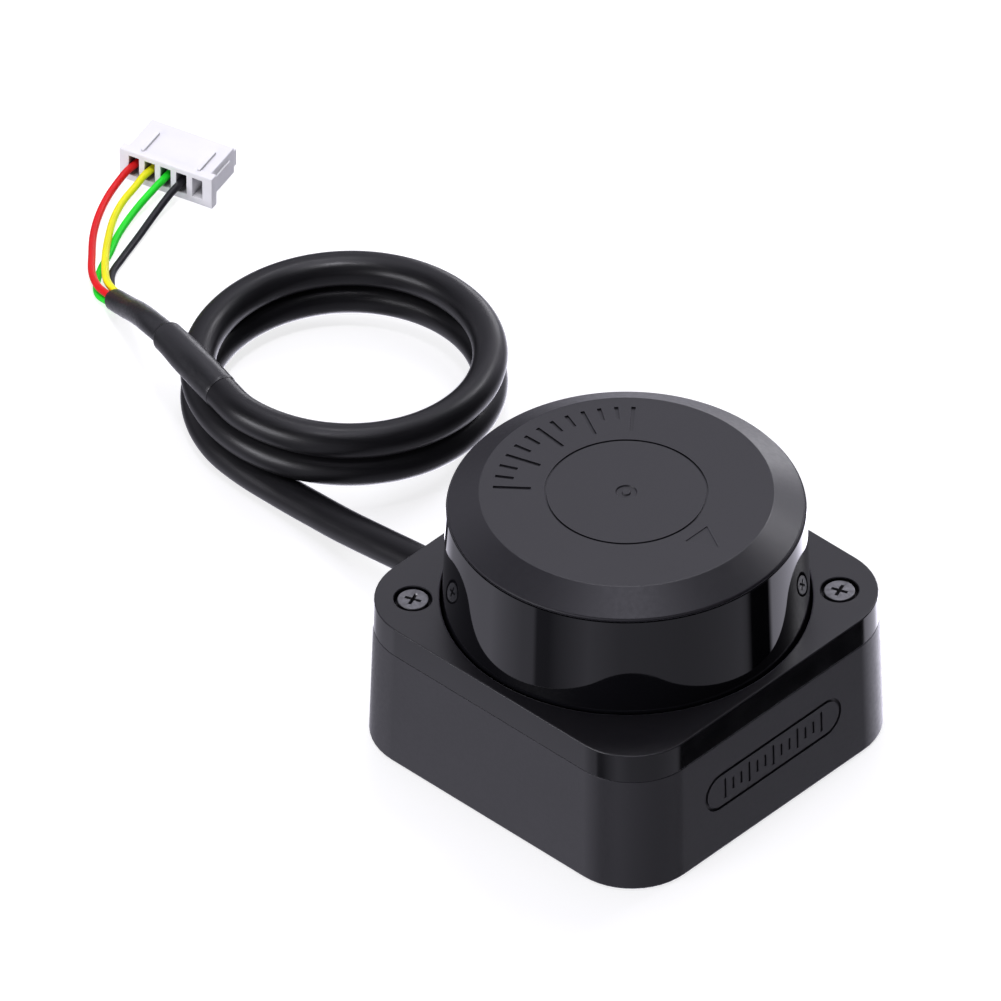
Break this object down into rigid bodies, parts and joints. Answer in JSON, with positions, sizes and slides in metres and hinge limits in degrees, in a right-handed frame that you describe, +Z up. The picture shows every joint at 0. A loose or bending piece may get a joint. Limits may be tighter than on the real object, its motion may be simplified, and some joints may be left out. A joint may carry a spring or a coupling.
{
  "type": "spinning lidar scanner module",
  "caption": "Square-based laser distance scanner with a spinning round head, a coiled round cable and a wire connector.",
  "frame": {"origin": "middle of the base's underside, on the surface that the module stands on", "axes": "+Z up along the rotor's axis; -Y out of the front face, the one with the stadium outline, and the way the cap's arrow points; the cable leaves along +Y; +X to the right seen from the front"},
  "size_m": [0.0784, 0.1616, 0.0413],
  "materials": {
    "shell_plastic": "fine matte texture",
    "cover_plastic": "satin top, glossy edge band",
    "cap_plastic": "fine matte texture",
    "window_plastic": "polished, infrared-clear, near black",
    "steel": "satin",
    "black_steel": "satin black",
    "brass": "machined",
    "circuit_board": "solder mask",
    "chip": "moulded epoxy",
    "copper": "enamelled winding",
    "magnet": "sintered",
    "lens_glass": "polished",
    "inner_plastic": "moulded",
    "rubber": "matte",
    "cable_jacket": "satin",
    "connector_nylon": "moulded, slightly translucent",
    "tin": "tin plate",
    "wire_red": "satin",
    "wire_yellow": "satin",
    "wire_green": "satin",
    "wire_black": "satin"
  },
  "bodies": {
    "base": {"base_shell": "shell_plastic", "top_cover": "cover_plastic", "cover_screw_1": "steel", "cover_screw_2": "steel", "lower_bearing_outer": "steel", "upper_bearing_outer": "steel", "stator_core": "black_steel", "mount_insert_1": "brass", "mount_insert_2": "brass", "mount_insert_3": "brass", "mount_insert_4": "brass", "hub_sleeve": "brass", "main_board": "circuit_board", "deck_plate": "circuit_board", "microcontroller": "chip", "stator_coil_1": "copper", "stator_coil_2": "copper", "stator_coil_3": "copper", "stator_coil_4": "copper", "stator_coil_5": "copper", "stator_coil_6": "copper", "transmit_coil": "copper", "power_inductor": "magnet", "encoder_ring": "inner_plastic", "cable_grommet": "rubber", "cable_sleeve": "rubber", "cable_lead": "cable_jacket", "cable_coil": "cable_jacket", "cable_tail": "cable_jacket", "board_header": "connector_nylon", "connector_housing": "connector_nylon", "terminal_red": "tin", "terminal_yellow": "tin", "terminal_green": "tin", "terminal_black": "tin", "wire_red": "wire_red", "wire_yellow": "wire_yellow", "wire_green": "wire_green", "wire_black": "wire_black"},
    "rotor": {"motor_shaft": "steel", "shaft_clip": "black_steel", "lower_bearing_inner": "steel", "upper_bearing_inner": "steel", "rotor_yoke": "steel", "magnet_ring": "magnet", "receive_coil": "copper", "rotor_platter": "inner_plastic", "photointerrupter": "chip", "rotor_board": "circuit_board", "lens_holder": "inner_plastic", "receiver_lens": "lens_glass", "emitter_lens": "lens_glass", "laser_diode": "brass", "photodetector": "chip", "optics_board": "circuit_board", "balance_weight": "steel", "window_shell": "window_plastic", "rotor_cap": "cap_plastic"},
    "lower_balls": {"lower_bearing_balls": "steel"},
    "upper_balls": {"upper_bearing_balls": "steel"}
  },
  "joints": [
    {"name": "rotor_spin", "type": "hinge", "parent": "base", "child": "rotor", "pos_m": [0, 0, 0.03], "axis": [0, 0, 1], "continuous": true},
    {"name": "lower_balls_roll", "type": "hinge", "parent": "base", "child": "lower_balls", "pos_m": [0, 0, 0.007], "axis": [0, 0, 1], "continuous": true},
    {"name": "upper_balls_roll", "type": "hinge", "parent": "base", "child": "upper_balls", "pos_m": [0, 0, 0.01195], "axis": [0, 0, 1], "continuous": true}
  ],
  "couplings": [
    {"joint": "lower_balls_roll", "follows": "rotor_spin", "ratio": 0.37},
    {"joint": "upper_balls_roll", "follows": "rotor_spin", "ratio": 0.37}
  ]
}
